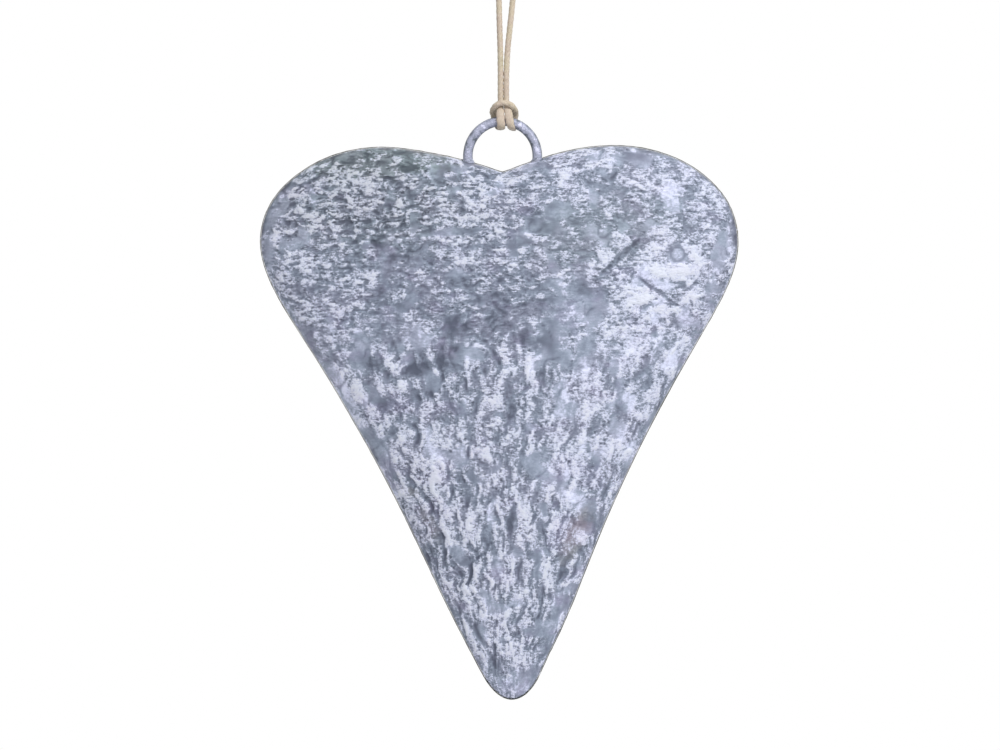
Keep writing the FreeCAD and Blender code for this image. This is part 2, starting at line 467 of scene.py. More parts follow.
@dataclass(frozen=True)
class NoisePlaces:
    """Where in the noise each pattern is read, so that no two look alike."""

    warp: Point = (3.1, 41.7, 83.9)
    flake: float = 7.7
    trail: float = 3.3
    bead: float = 31.0
    ragged: float = 9.0
    knock: float = 5.5
    patch: float = 23.0
    haze: float = 37.0
    gully: float = 61.0
    bald: float = 71.0


@dataclass(frozen=True)
class PaintRule:
    """How much paint each kind of place holds, and how much each fault takes off."""

    level: float = 0.51
    crease: float = 0.54
    knock: float = 0.16
    patch: float = 0.22
    bare_level: float = 0.37
    bare_patch: float = 0.2
    bare_haze: float = 0.3
    bare_share: float = 0.85
    # Darker gullies: partly bare metal, partly painted shade in the groove.
    gully_loss_and_shade: float = 0.22
    upper_rim_loss: float = 0.24


@dataclass
class Hammering:
    """The beaten surface of one shell and where the rubbed paint stays on it, with some painted shade.
    Lengths are in mm.
    """

    seed: int
    marks: tuple[Mark, ...] = ()
    dent: RingDent | None = None
    swell_length: float = 22.0
    swell_height: float = 0.36
    warp_length: float = 6.0
    warp_reach: float = 1.9
    flake_length: float = 3.0
    flake_width: float = 1.2
    trail_length: float = 6.5
    trail_width: float = 2.2
    trail_depth: float = 3.0
    trail_strength: float = 1.2
    bead_length: float = 1.2
    bead_width: float = 1.9
    bead_strength: float = 0.35
    ridge_gain: float = 0.55
    steepening: float = 0.55
    crease_height: float = 0.30
    knock_length: float = 5.5
    knock_height: float = 0.36
    patch_length: float = 7.0
    haze_length: float = 14.0
    gully_spacing: float = 12.0
    gully_depth: float = 0.12
    gully_wander: float = 3.4
    gully_sharpness: float = 9.0
    gully_patches: Band = (-0.15, 0.25)
    bald_spacing: float = 7.0
    bald_patches: Band = (0.20, 0.38)
    bald_smooth: float = 0.85
    rim_band: Band = (0.6, 4.5)
    rim_wander: float = 9.0
    rim_smooth: float = 0.45
    upper_rim_band: Band = (0.4, 2.4)
    upper_rim_wander: float = 2.0
    upper_rim_heights: Band = (-98.0, -76.0)
    smooth_flattens: float = 0.75
    seam_band: Band = (0.2, 3.0)
    mark_edge: Band = (0.55, 1.35)
    mark_ragged: float = 0.45
    mark_warp: float = 0.8
    ragged_length: float = 1.6
    apex_x: float = 2.5
    apex_z: float = -238.0
    apex_reach: float = 118.0
    streak_heights: Band = (-124.0, -104.0)
    streak_swell: float = 12.0
    scale: PhotoScale = PhotoScale()
    read: NoisePlaces = NoisePlaces()
    paint: PaintRule = PaintRule()

    def beat(self, points: np.ndarray, from_seam: np.ndarray) -> dict[str, np.ndarray]:
        """Works out the sheet's relief and its paint, with some painted shade.

        Args:
            points: places on the plain surface, in mm.
            from_seam: each place's distance from the seam, in mm.

        Returns:
            Arrays named lift (mm), cover, smooth, streaks, brown, contrast, moss, across and along.
        """
        noise, read = Crumple(self.seed), self.read
        warp = np.stack([noise.layered(points / self.warp_length + shift) for shift in read.warp], axis=1)
        bent = points + self.warp_reach * warp
        swell = noise.layered(points / self.swell_length)
        patch = noise.layered(points / self.patch_length + read.patch)
        across, along = self._towards_point(bent)
        streaks = soft_step(*self.streak_heights, points[:, 2] + self.streak_swell * swell)
        crease = self._flakes(noise, bent) * streaks
        crease += self._trails(noise, across, along, bent[:, 1]) * (1.0 - streaks)
        ragged = noise.layered(points / self.ragged_length + read.ragged)
        marked = self._marked(points + self.mark_warp * warp, ragged)
        crease *= 1.0 + marked["contrast"]
        knock = noise.layered(bent / self.knock_length + read.knock)
        wandering = (bent + self.gully_wander * warp[:, ::-1]) / self.gully_spacing
        gully = noise.gullies(wandering + read.gully, self.gully_sharpness)
        gully *= soft_step(*self.gully_patches, patch)
        rim_wear = 1.0 - soft_step(*self.rim_band, from_seam + self.rim_wander * patch)
        bald = soft_step(*self.bald_patches, noise.layered(bent / self.bald_spacing + read.bald))
        smooth = marked["smooth"] + self.bald_smooth * bald + self.rim_smooth * rim_wear
        smooth = np.clip(smooth, 0.0, 1.0)
        relief = self.crease_height * crease + self.knock_height * knock
        relief = relief * (1.0 - self.smooth_flattens * smooth) - self.gully_depth * gully
        haze = noise.layered(points / self.haze_length + read.haze)
        bare = self.paint.bare_level + self.paint.bare_patch * patch + self.paint.bare_haze * haze
        cover = self.paint.level + self.paint.crease * crease + self.paint.knock * knock
        cover += self.paint.patch * patch
        cover += (bare - cover) * self.paint.bare_share * smooth
        # Less paint, so darker, in a band along the seam on the upper lobes.
        upper_rim_dark = 1.0 - soft_step(*self.upper_rim_band, from_seam + self.upper_rim_wander * patch)
        upper_rim_dark *= soft_step(*self.upper_rim_heights, points[:, 2])
        cover += marked["paint"] - self.paint.gully_loss_and_shade * gully - self.paint.upper_rim_loss * upper_rim_dark
        if self.dent:
            ring = self.dent.ring(self.scale, points)
            relief -= self.dent.depth_mm * ring
            cover -= self.dent.paint_loss * ring
        lift = self.swell_height * swell + relief + marked["lift"]
        return {
            "lift": soft_step(*self.seam_band, from_seam) * lift,
            "cover": cover,
            "smooth": smooth,
            "streaks": streaks,
            "brown": marked["brown"],
            "contrast": marked["contrast"],
            "moss": marked["moss"],
            "across": across,
            "along": along,
        }

    def swell_only(self, points: np.ndarray, from_seam: np.ndarray) -> np.ndarray:
        """Gives the slow waves alone, in mm, which the sheet's hidden face shares."""
        swell = Crumple(self.seed).layered(points / self.swell_length)
        return soft_step(*self.seam_band, from_seam) * self.swell_height * swell

    def _flakes(self, noise: Crumple, points: np.ndarray) -> np.ndarray:
        """Gives the level ridges of the upper part, steeper on their undersides.

        Args:
            noise: the shell's noise.
            points: places, in mm.

        Returns:
            The ridges' height at each place, from about -1 to 1.
        """
        cell = (self.flake_length, self.flake_length, self.flake_width)
        first = noise.layered(points / cell + self.read.flake, gain=self.ridge_gain)
        leaning = points + np.outer(first, (0.0, 0.0, self.steepening))
        return noise.layered(leaning / cell + self.read.flake, gain=self.ridge_gain)

    def _trails(self, noise: Crumple, across: np.ndarray, along: np.ndarray, depth: np.ndarray) -> np.ndarray:
        """Gives the upright ridges of the lower part, which run towards the point.

        Args:
            noise: the shell's noise.
            across: mm across the trails.
            along: mm along the trails.
            depth: mm to the front or back.

        Returns:
            The ridges' height at each place.
        """
        cell = (self.trail_width, self.trail_depth, self.trail_length)
        place = np.stack([across, depth, along], axis=1) / cell + (0.0, self.read.trail, 0.0)
        first = noise.layered(place, gain=self.ridge_gain)
        leaning = place + np.outer(first, (self.steepening / self.trail_width, 0.0, 0.0))
        cell = (self.bead_width, self.trail_depth, self.bead_length)
        beads = noise.layered(np.stack([across, depth, along], axis=1) / cell + self.read.bead)
        return self.trail_strength * noise.layered(leaning) + self.bead_strength * beads

    def _towards_point(self, points: np.ndarray) -> tuple[np.ndarray, np.ndarray]:
        """Gives each place's mm across and along the trails, which meet below the heart's point."""
        side, rise = points[:, 0] - self.apex_x, points[:, 2] - self.apex_z
        return self.apex_reach * np.arctan2(side, rise), np.hypot(side, rise)

    def _marked(self, points: np.ndarray, ragged: np.ndarray) -> dict[str, np.ndarray]:
        """Adds up what all the marks do.

        Args:
            points: places, in mm.
            ragged: a number for each place that makes the marks' edges uneven.

        Returns:
            One array for each field of Effect.
        """
        totals = {name: np.zeros(len(points)) for name in Effect.__dataclass_fields__}
        half_px = self.scale.mm_per_px / 2
        for mark in self.marks:
            turn = math.radians(mark.tilt)
            side = points[:, 0] - self.scale.across(mark.across_px)
            rise = points[:, 2] - self.scale.height(mark.down_px)
            lengthwise = (side * math.cos(turn) + rise * math.sin(turn)) / (mark.length_px * half_px)
            sideways = (rise * math.cos(turn) - side * math.sin(turn)) / (mark.width_px * half_px)
            away = np.hypot(lengthwise, sideways) + self.mark_ragged * ragged
            inside = 1.0 - soft_step(*self.mark_edge, away)
            for name, total in totals.items():
                total += mark.strength * getattr(mark.touch.value, name) * inside
        return totals


def screen_colour(*channels: float) -> Colour:
    """Turns a colour as a screen shows it, 0 to 255, into the shader's own scale."""
    shares = [channel / 255.0 for channel in channels]
    return (*(c / 12.92 if c <= 0.04045 else ((c + 0.055) / 1.055) ** 2.4 for c in shares), 1.0)


@dataclass(frozen=True)
class Grain:
    """A noise texture: cells to the mm, detail, roughness, swirl and a stretch for each axis."""

    cells: float
    detail: float
    rough: float
    swirl: float = 0.0
    stretch: Point = (1.0, 1.0, 1.0)


class Recipe:
    """The shader nodes of one finish, joined as they are added."""

    def __init__(self, name: str) -> None:
        """Starts a material with a bare surface shader.

        Args:
            name: the material's name.
        """
        self.material = bpy.data.materials.new(name)
        self.material.use_nodes = True
        self.tree = self.material.node_tree
        self.tree.nodes.clear()
        self.surface = self.node("BsdfPrincipled", {})
        self.node("OutputMaterial", {"Surface": self.surface.outputs["BSDF"]})
        self.place = self.node("TexCoord", {}).outputs["Object"]
        self.mm = self.stretched(self.place, 1 / MM, 1 / MM, 1 / MM)

    def node(self, kind: str, feeds: dict[int | str, Value], **options: object) -> bpy.types.Node:
        """Adds a node.

        Args:
            kind: its type, without the first word.
            feeds: what each socket takes, by the socket's number or name.
            options: its settings.

        Returns:
            The new node.
        """
        made = self.tree.nodes.new("ShaderNode" + kind)
        for name, option in options.items():
            setattr(made, name, option)
        self.feed(made, feeds)
        return made

    def feed(self, node: bpy.types.Node, feeds: dict[int | str, Value]) -> None:
        """Links or sets a node's sockets.

        Args:
            node: the node.
            feeds: what each socket takes, by the socket's number or name.
        """
        for key, value in feeds.items():
            if isinstance(value, Socket):
                self.tree.links.new(value, node.inputs[key])
            else:
                node.inputs[key].default_value = value

    def product(self, first: Value, second: Value, plus: Value = 0.0) -> Socket:
        """Multiplies two numbers and adds a third."""
        return self.node("Math", {0: first, 1: second, 2: plus}, operation="MULTIPLY_ADD").outputs[0]

    def weighed(self, *terms: tuple[Value, float]) -> Value:
        """Adds up values, each times its weight.

        Args:
            terms: the values and their weights.

        Returns:
            The sum.
        """
        total: Value = 0.0
        for value, weight in terms:
            total = self.product(value, weight, total)
        return total

    def stretched(self, vector: Value, *scale: float) -> Socket:
        """Multiplies a place by a number for each axis."""
        return self.node("VectorMath", {0: vector, 1: scale}, operation="MULTIPLY").outputs[0]

    def length(self, vector: Value) -> Socket:
        """Gives a place's distance from the origin."""
        return self.node("VectorMath", {0: vector}, operation="LENGTH").outputs["Value"]

    def joined(self, *axes: Value) -> Socket:
        """Makes a place from three numbers."""
        return self.node("CombineXYZ", dict(enumerate(axes))).outputs[0]

    def noise(self, vector: Value, grain: Grain) -> Socket:
        """Adds a noise texture.

        Args:
            vector: where it is read, in mm.
            grain: its numbers.

        Returns:
            Its value, from 0 to 1.
        """
        return self.node("TexNoise", {
            "Vector": self.stretched(vector, *grain.stretch),
            "Scale": grain.cells,
            "Detail": grain.detail,
            "Roughness": grain.rough,
            "Distortion": grain.swirl,
        }).outputs["Fac"]

    def step(self, value: Value, low: float, high: float, start: float = 0.0, end: float = 1.0) -> Socket:
        """Grades a value smoothly from start to end as it goes from low to high."""
        feeds = dict(enumerate((value, low, high, start, end)))
        return self.node("MapRange", feeds, interpolation_type="SMOOTHSTEP").outputs[0]

    def mix(self, share: Value, first: Value, second: Value) -> Socket:
        """Mixes two colours."""
        return self.node("Mix", {0: share, 6: first, 7: second}, data_type="RGBA").outputs[2]

    def tinted(self, share: Value, colour: Value, tint: Value) -> Socket:
        """Multiplies a colour by a tint, by a share."""
        feeds = {0: share, 6: colour, 7: tint}
        return self.node("Mix", feeds, data_type="RGBA", blend_type="MULTIPLY").outputs[2]

    def number_mix(self, share: Value, first: Value, second: Value) -> Socket:
        """Mixes two numbers."""
        return self.node("Mix", {0: share, 2: first, 3: second}, data_type="FLOAT").outputs[0]

    def kept(self, name: str) -> Socket:
        """Reads a number that the mesh keeps for each point."""
        return self.node("Attribute", {}, attribute_name=name).outputs["Fac"]

    def coated(self, colour: Value, *coats: tuple[Value, Band, Value]) -> Value:
        """Lays colours over a first one.

        Args:
            colour: the first colour.
            coats: a value, the band where it brings the coat in, and the coat's colour.

        Returns:
            The colour on top.
        """
        for value, band, coat in coats:
            colour = self.mix(self.step(value, *band), colour, coat)
        return colour

    def ramp(self, value: Value, stops: dict[float, Colour]) -> Socket:
        """Turns a number into a colour that changes evenly between the stops.

        Args:
            value: the number.
            stops: the colours, by the numbers where they stand.

        Returns:
            The colour.
        """
        made = self.node("ValToRGB", {0: value})
        elements = made.color_ramp.elements
        while len(elements) < len(stops):
            elements.new(1.0)
        for element, (place, colour) in zip(elements, sorted(stops.items())):
            element.position, element.color = place, colour
        return made.outputs[0]

    def bump(self, height: Value, depth_mm: float) -> None:
        """Roughens the surface by a height, from 0 to 1, over a depth in mm."""
        made = self.node("Bump", {"Height": height, "Distance": depth_mm * MM, "Strength": 1.0})
        self.feed(self.surface, {"Normal": made.outputs["Normal"]})

    def finish(self, colour: Value, roughness: Value, metallic: float, specular: float) -> Material:
        """Sets the surface.

        Args:
            colour: its colour.
            roughness: how dull it is.
            metallic: how much of it is bare metal.
            specular: how strongly it shines.

        Returns:
            The material.
        """
        self.feed(self.surface, {
            "Base Color": colour,
            "Roughness": roughness,
            "Metallic": metallic,
            "Specular IOR Level": specular,
        })
        return self.material


@dataclass(frozen=True)
class RubbedSheet:
    """Grey sheet metal with pale paint rubbed over its high places and painted shade in its hollows and
    between its grains.
    """

    name: str = "rubbed_sheet"
    # shadow and dull are painted shade in hollows and beside the paint grains; dull is partly darker bare
    # metal.
    shadow: Colour = screen_colour(86, 90, 108)
    dull: Colour = screen_colour(117, 122, 141)
    steel: Colour = screen_colour(141, 147, 167)
    film: Colour = screen_colour(166, 172, 193)
    thin_paint: Colour = screen_colour(202, 206, 229)
    paint: Colour = screen_colour(227, 231, 253)
    white: Colour = screen_colour(238, 241, 255)
    verdigris: Colour = (0.94, 1.0, 0.98, 1.0)
    mauve: Colour = (1.0, 0.93, 0.99, 1.0)
    tarnish: Colour = (1.0, 0.88, 0.74, 1.0)
    grey_green: Colour = (0.88, 0.94, 0.80, 1.0)
    level_clump: Grain = Grain(1.0, 1.5, 0.5, 0.3, (0.45, 0.8, 1.05))
    trail_clump: Grain = Grain(1.0, 1.5, 0.5, 0.3, (0.9, 0.8, 0.6))
    level_grit: Grain = Grain(1.3, 5, 0.74, 0.3, (0.85, 1.0, 1.4))
    trail_grit: Grain = Grain(1.3, 5, 0.74, 0.3, (0.80, 1.0, 1.4))
    stroke: Grain = Grain(1.0, 2, 0.5, 0.0, (0.14, 0.4, 1.7))
    cloud: Grain = Grain(0.12, 4, 0.6, 0.4)
    drift: Grain = Grain(1.0, 3, 0.6, 0.0, (0.09, 0.09, 0.14))
    clump_share: float = 0.7
    grit_share: float = 2.3
    stroke_share: float = 0.5
    thick_gate: Band = (0.28, 0.52, 0.22, 1.0)
    smooth_gate: Band = (0.0, 1.0, 1.0, 0.22)
    contrast_gate: float = 0.5
    bare_band: Band = (0.42, 0.60, 1.0, 0.25)
    cloud_band: Band = (0.38, 0.56)
    drift_band: Band = (0.53, 0.66)
    roughness: Band = (0.45, 0.6, 0.5, 0.8)
    metal_share: float = 0.15
    specular: float = 0.3
    relief_mm: float = 0.38

    def made(self) -> Material:
        """Builds the material.

        Returns:
            The material, which reads the numbers that each shell keeps.
        """
        recipe = Recipe(self.name)
        mm, cover, streaks = recipe.mm, recipe.kept("cover"), recipe.kept("streaks")
        trail = recipe.joined(recipe.kept("across"), 0.0, recipe.kept("along"))
        clumps = recipe.noise(trail, self.trail_clump), recipe.noise(mm, self.level_clump)
        grits = recipe.noise(mm, self.trail_grit), recipe.noise(mm, self.level_grit)
        strokes = recipe.product(streaks, recipe.noise(mm, self.stroke))
        grain = recipe.weighed(
            (recipe.number_mix(streaks, *clumps), self.clump_share),
            (recipe.number_mix(streaks, *grits), self.grit_share),
            (strokes, self.stroke_share),
            (streaks, -self.stroke_share / 2),
            (1.0, -(self.clump_share + self.grit_share) / 2),
        )
        gate = recipe.product(
            recipe.step(cover, *self.thick_gate), recipe.step(recipe.kept("smooth"), *self.smooth_gate)
        )
        gate = recipe.product(gate, recipe.product(recipe.kept("contrast"), self.contrast_gate, 1.0))
        ragged = recipe.product(grain, gate, cover)
        # The ramp's lowest stops, shadow and dull, paint shade where cover and grain are low.
        tone: Value = recipe.ramp(ragged, {
            0.12: self.shadow, 0.28: self.dull, 0.40: self.steel, 0.52: self.film,
            0.59: self.thin_paint, 0.69: self.paint, 0.86: self.white,
        })
        bare = recipe.step(ragged, *self.bare_band)
        tints = (
            (recipe.step(recipe.noise(mm, self.cloud), *self.cloud_band), self.verdigris),
            (recipe.step(recipe.noise(mm, self.drift), *self.drift_band), self.mauve),
            (recipe.kept("brown"), self.tarnish),
            (recipe.kept("moss"), self.grey_green),
        )
        for share, tint in tints:
            tone = recipe.tinted(recipe.product(bare, share), tone, tint)
        recipe.bump(ragged, self.relief_mm)
        return recipe.finish(tone, recipe.step(ragged, *self.roughness), self.metal_share, self.specular)


@dataclass(frozen=True)
class PaintedWire:
    """Round wire with pale paint rubbed over it, laid thicker along its front and back as a painted
    highlight, with painted shade at its sides.
    """

    name: str = "painted_wire"
    iron: Colour = screen_colour(106, 113, 123)
    dark: Colour = screen_colour(72, 79, 86)
    film: Colour = screen_colour(165, 169, 190)
    paint: Colour = screen_colour(222, 224, 246)
    grain: Grain = Grain(0.55, 4, 0.65, 0.3)
    speck: Grain = Grain(1.9, 3, 0.7)
    cover_and_highlight_share: float = 0.9
    grain_share: float = 1.5
    speck_share: float = 1.1
    dark_band: Band = (0.38, 0.6)
    film_band: Band = (1.55, 1.95, 0.0, 0.95)
    thick_band: Band = (2.02, 2.22)
    thick_height: float = 0.3
    grain_height: float = 0.5
    relief_mm: float = 0.22
    roughness: Band = (0.0, 1.0, 0.5, 0.78)
    metal_share: float = 0.2
    specular: float = 0.3

    def made(self) -> Material:
        """Builds the material.

        Returns:
            The material, which reads the cover that the wire and the welds keep.
        """
        recipe = Recipe(self.name)
        grain, speck = recipe.noise(recipe.mm, self.grain), recipe.noise(recipe.mm, self.speck)
        ragged = recipe.weighed(
            (recipe.kept("cover"), self.cover_and_highlight_share), (grain, self.grain_share), (speck, self.speck_share)
        )
        thick = recipe.step(ragged, *self.thick_band)
        colour = recipe.coated(
            self.iron, (speck, self.dark_band, self.dark), (ragged, self.film_band, self.film)
        )
        recipe.bump(recipe.weighed(
            (thick, self.thick_height), (grain, self.grain_height), (speck, self.grain_height)
        ), self.relief_mm)
        colour = recipe.mix(thick, colour, self.paint)
        return recipe.finish(colour, recipe.step(thick, *self.roughness), self.metal_share, self.specular)


@dataclass(frozen=True)
class SolderLine:
    """The dull line that closes the seam, dark partly from its solder and partly as painted shade for the
    rim's dark outline, with brown tarnish and traces of paint.
    """

    name: str = "solder_line"
    # Dark grey: partly the solder's own colour, partly painted shade for the outline where the rim turns
    # away.
    lead_and_rim_shade: Colour = screen_colour(72, 76, 82)
    olive: Colour = screen_colour(64, 69, 60)
    brown: Colour = screen_colour(90, 80, 72)
    paint: Colour = screen_colour(184, 188, 206)
    drift: Grain = Grain(0.09, 4, 0.6)
    grain: Grain = Grain(0.9, 4, 0.7)
    rust: Grain = Grain(0.2, 5, 0.7)
    paint_share: float = 0.6
    olive_band: Band = (0.42, 0.58)
    brown_band: Band = (0.52, 0.66)
    paint_band: Band = (0.66, 0.76)
    relief_mm: float = 0.15
    roughness: float = 0.9
    specular: float = 0.1

    def made(self) -> Material:
        """Builds the material.

        Returns:
            The material.
        """
        recipe = Recipe(self.name)
        grain, rust = recipe.noise(recipe.mm, self.grain), recipe.noise(recipe.mm, self.rust)
        traces = recipe.weighed((grain, self.paint_share), (rust, self.paint_share))
        colour = recipe.coated(
            self.lead_and_rim_shade,
            (recipe.noise(recipe.mm, self.drift), self.olive_band, self.olive),
            (rust, self.brown_band, self.brown),
            (traces, self.paint_band, self.paint),
        )
        recipe.bump(grain, self.relief_mm)
        return recipe.finish(colour, self.roughness, 0.0, self.specular)


@dataclass(frozen=True)
class WaxedCotton:
    """Beige cotton cord, waxed, with darker flecks in the lay of its plies."""

    name: str = "waxed_cotton"
    straw: Colour = screen_colour(194, 180, 158)
    pale: Colour = screen_colour(208, 197, 180)
    pink: Colour = screen_colour(192, 175, 160)
    moss: Colour = screen_colour(184, 177, 150)
    dark: Colour = screen_colour(140, 122, 104)
    drift: Grain = Grain(0.22, 3, 0.6)
    fibre: Grain = Grain(1.0, 4, 0.7, 0.5, (2.6, 2.6, 1.1))
    fleck: Grain = Grain(1.3, 4, 0.75)
    straw_band: Band = (0.40, 0.56)
    moss_band: Band = (0.55, 0.68, 0.0, 0.6)
    pale_band: Band = (0.45, 0.68, 0.0, 0.8)
    dark_band: Band = (0.57, 0.70, 0.0, 0.75)
    fibre_height: float = 0.7
    fleck_height: float = -0.3
    relief_mm: float = 0.10
    sheen: float = 0.15
    sheen_roughness: float = 0.5
    roughness: float = 0.62
    specular: float = 0.35

    def made(self) -> Material:
        """Builds the material.

        Returns:
            The material.
        """
        recipe = Recipe(self.name)
        drift = recipe.noise(recipe.mm, self.drift)
        fibre, fleck = recipe.noise(recipe.mm, self.fibre), recipe.noise(recipe.mm, self.fleck)
        colour = recipe.coated(
            self.pink,
            (drift, self.straw_band, self.straw),
            (drift, self.moss_band, self.moss),
            (fibre, self.pale_band, self.pale),
            (fleck, self.dark_band, self.dark),
        )
        recipe.bump(recipe.weighed((fibre, self.fibre_height), (fleck, self.fleck_height)), self.relief_mm)
        recipe.feed(recipe.surface, {"Sheen Weight": self.sheen, "Sheen Roughness": self.sheen_roughness})
        return recipe.finish(colour, self.roughness, 0.0, self.specular)


class HeartForm:
    """The heart's plain outer face, both halves joined and closed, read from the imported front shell."""

    SHARPEST = math.radians(35)
    NEAR_SEAM = 0.2
    SMOOTH_ROUNDS = 3
    SMOOTH_SHARE = 0.5

    def __init__(self) -> None:
        """Keeps the closed face and a way to find the nearest place on it."""
        self.closed = self._closed_face()
        self.surface = BVHTree.FromBMesh(self.closed)

    def _closed_face(self) -> Shape:
        """Cuts the outer face from a copy of the front shell and mirrors it.

        Returns:
            The closed face.
        """
        face = merged_copy("front_shell")
        start = min(face.faces, key=lambda one: one.calc_center_median().y)
        reached, waiting = {start}, [start]
        while waiting:
            for edge in waiting.pop().edges:
                if edge.calc_face_angle(math.pi) > self.SHARPEST:
                    continue
                fresh = [other for other in edge.link_faces if other not in reached]
                reached.update(fresh)
                waiting.extend(fresh)
        bmesh.ops.delete(face, geom=[one for one in face.faces if one not in reached], context="FACES")
        everything = [*face.verts, *face.edges, *face.faces]
        bmesh.ops.mirror(face, geom=everything, matrix=Matrix.Identity(4), merge_dist=MERGE, axis="Y")
        bmesh.ops.holes_fill(face, edges=[edge for edge in face.edges if edge.is_boundary], sides=0)
        bmesh.ops.recalc_face_normals(face, faces=face.faces)
        return face

    def even_grid(self, voxel: float) -> Shape:
        """Covers the closed face with an even grid of squares.

        Args:
            voxel: the side of a square, in metres.

        Returns:
            The grid.
        """
        mesh = bpy.data.meshes.new("heart_form")
        self.closed.to_mesh(mesh)
        form = placed("heart_form", mesh)
        remesh = form.modifiers.new("even_grid", "REMESH")
        remesh.mode = "VOXEL"
        remesh.voxel_size = voxel
        grid = bmesh.new()
        grid.from_object(form, bpy.context.evaluated_depsgraph_get())
        bpy.data.objects.remove(form)
        bpy.data.meshes.remove(mesh)
        return grid

    def half(self, side: Side, voxel: float, below: float) -> Shape:
        """Makes one half of the face, cut at the seam.

        Args:
            side: the half.
            voxel: the side of a square, in metres.
            below: how far under the outer face it lies, in metres.

        Returns:
            The half as an open grid.
        """
        grid = self.even_grid(voxel)
        everything = [*grid.verts, *grid.edges, *grid.faces]
        bmesh.ops.bisect_plane(grid, geom=everything, dist=voxel * self.NEAR_SEAM, plane_co=(0, 0, 0),
                               plane_no=(0, -side.value, 0), clear_outer=True)
        on_seam = {vert for edge in grid.edges if edge.is_boundary for vert in edge.verts}
        for vert in grid.verts:
            nearest, outward, _, _ = self.surface.find_nearest(vert.co)
            vert.co = nearest - outward * below
            if vert in on_seam:
                vert.co.y = 0.0
        free = [vert for vert in grid.verts if vert not in on_seam]
        for _ in range(self.SMOOTH_ROUNDS):
            bmesh.ops.smooth_vert(grid, verts=free, factor=self.SMOOTH_SHARE,
                                  use_axis_x=True, use_axis_y=True, use_axis_z=True)
        grid.normal_update()
        return grid


@dataclass
class HammeredShell:
    """One half of the heart: a thin closed sheet with a beaten outer face."""

    side: Side
    hammering: Hammering
    node: str
    name: str
    outer_voxel: float = 0.45 * MM
    inner_voxel: float = 1.3 * MM
    quick_share: float = 1.3
    thickness: float = 0.6 * MM

    def build(self, form: HeartForm, finish: Material) -> Piece:
        """Makes the shell.

        Args:
            form: the plain outer face.
            finish: the sheet's material.

        Returns:
            The shell, riding on the heart.
        """
        coarser = 1.0
        outer = form.half(self.side, self.outer_voxel * coarser, 0.0)
        inner = form.half(self.side, self.inner_voxel * coarser, self.thickness)
        surface = self.hammering.beat(places_of(outer), self._from_seam(outer))
        raise_points(outer, surface.pop("lift"))
        for name, values in surface.items():
            keep_share(outer, name, values)
        raise_points(inner, self.hammering.swell_only(places_of(inner), self._from_seam(inner)))
        bmesh.ops.reverse_faces(inner, faces=inner.faces)
        hidden = bpy.data.meshes.new("hidden_face")
        inner.to_mesh(hidden)
        inner.free()
        outer.from_mesh(hidden)
        bpy.data.meshes.remove(hidden)
        rims = [edge for edge in outer.edges if edge.is_boundary]
        bmesh.ops.triangle_fill(outer, edges=rims, use_beauty=True, normal=(0, -self.side.value, 0))
        bmesh.ops.recalc_face_normals(outer, faces=outer.faces)
        return dressed(finished(self.name, outer), finish, Slot.SHEET, Body.HEART, self.node)

    def _from_seam(self, grid: Shape) -> np.ndarray:
        """Gives each point's distance from the seam, in mm."""
        rim = tree_of([vert.co for vert in grid.verts if vert.is_boundary])
        return np.array([rim.find(vert.co)[2] for vert in grid.verts]) / MM


@dataclass
class SeamBead:
    """The bead of solder round the edge, with the small lumps of handwork. Lengths are in mm."""

    worn_down: float = 0.26
    lump_height: float = 0.12
    lump_length: float = 2.6
    seed: int = 71

    def build(self, finish: Material) -> Piece:
        """Makes the bead from its plain node, filed thinner.

        Args:
            finish: the solder's material.

        Returns:
            The bead, riding on the heart.
        """
        bead = merged_copy("seam_bead")
        lumps = Crumple(self.seed).layered(places_of(bead) / self.lump_length)
        raise_points(bead, lumps * self.lump_height - self.worn_down)
        return dressed(finished("seam_solder_line", bead), finish, Slot.SOLDER, Body.HEART, "seam_bead")


@dataclass
class HangingRing:
    """The open hoop of wire that stands in the cleft. Lengths are in mm."""

    wire_radius: float = 1.29
    mean_radius: float = RING_RADIUS
    centre_z: float = RING_CENTRE_Z
    end_angle: float = 126.0
    steps: int = 150
    sides: int = 24
    dent_height: float = 0.05
    dent_length: float = 2.2
    dent_layers: int = 3
    shaded_side_cover: float = 0.1
    highlight_cover: float = 0.75
    dent_cover: float = 0.25
    seed: int = 33

    def build(self, finish: Material) -> Piece:
        """Spins the wire's section round the ring and dents it lightly.

        Args:
            finish: the wire's material.

        Returns:
            The ring, riding on the heart.
        """
        hoop = bmesh.new()
        start = Matrix.Rotation(-math.radians(self.end_angle), 4, "Y")
        start = start @ Matrix.Translation((0, 0, self.mean_radius * MM))
        bmesh.ops.create_circle(
            hoop, segments=self.sides, radius=self.wire_radius * MM, cap_ends=True,
            matrix=start @ Matrix.Rotation(math.pi / 2, 4, "Y"),
        )
        bmesh.ops.spin(hoop, geom=[*hoop.verts, *hoop.edges, *hoop.faces], cent=(0, 0, 0), axis=(0, 1, 0),
                       angle=math.radians(2 * self.end_angle), steps=self.steps, use_duplicate=False)
        bmesh.ops.remove_doubles(hoop, verts=hoop.verts, dist=MERGE)
        hoop = laid_in_order(hoop)
        bmesh.ops.recalc_face_normals(hoop, faces=hoop.faces)
        bmesh.ops.translate(hoop, verts=hoop.verts, vec=(0, 0, self.centre_z * MM))
        hoop.normal_update()
        dents = Crumple(self.seed).layered(places_of(hoop) / self.dent_length, self.dent_layers)
        # Painted highlight and shade: more paint where the wire faces front or back, painted shade at its
        # sides.
        facing_highlight = np.array([abs(vert.normal.y) for vert in hoop.verts])
        raise_points(hoop, dents * self.dent_height)
        keep_share(hoop, "cover", self.shaded_side_cover + self.highlight_cover * facing_highlight + self.dent_cover * dents)
        return dressed(finished("ring_wire", hoop), finish, Slot.WIRE, Body.HEART, "hanging_ring")


